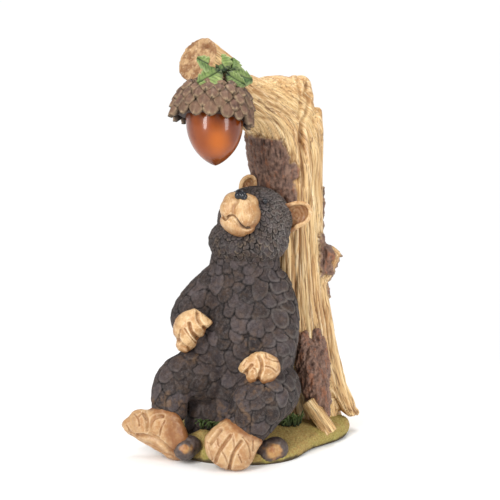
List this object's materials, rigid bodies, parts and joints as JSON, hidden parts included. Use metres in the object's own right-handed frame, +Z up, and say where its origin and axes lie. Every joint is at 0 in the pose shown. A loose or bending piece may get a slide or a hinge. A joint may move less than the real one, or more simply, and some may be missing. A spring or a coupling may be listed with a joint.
{
  "type": "solar garden statue",
  "caption": "Resin garden statue of a seated bear leaning on a tree stump, looking up at a hollow amber acorn lamp that hangs under the stump's bent branch.",
  "frame": {"origin": "centre of the statue's box at the height of its flat underside", "axes": "+Z up, -Y towards the side that the statue shows, +X to the right of someone who looks at that side"},
  "size_m": [0.1752, 0.1531, 0.2972],
  "materials": {
    "painted_resin": "hand-painted cast resin, matt",
    "amber_plastic": "see-through amber plastic, glossy",
    "solar_cell": "dark cells under a clear cover, glossy",
    "dark_fur": "painted resin fur, dark and dry-brushed, matt",
    "bare_skin": "painted resin, cream with an orange-brown wash, matt",
    "glossy_black": "black gloss paint",
    "grey_wood": "painted resin wood with a dark wash in the grain, matt",
    "acorn_cap": "painted resin, mauve-brown with tan edges, matt",
    "green_leaf": "painted resin, green with dark veins, matt",
    "mossy_ground": "painted resin, moss green over brown, matt"
  },
  "bodies": {
    "root": {"resin_statue": "painted_resin", "acorn_lens": "amber_plastic", "solar_panel": "solar_cell"}
  },
  "joints": []
}
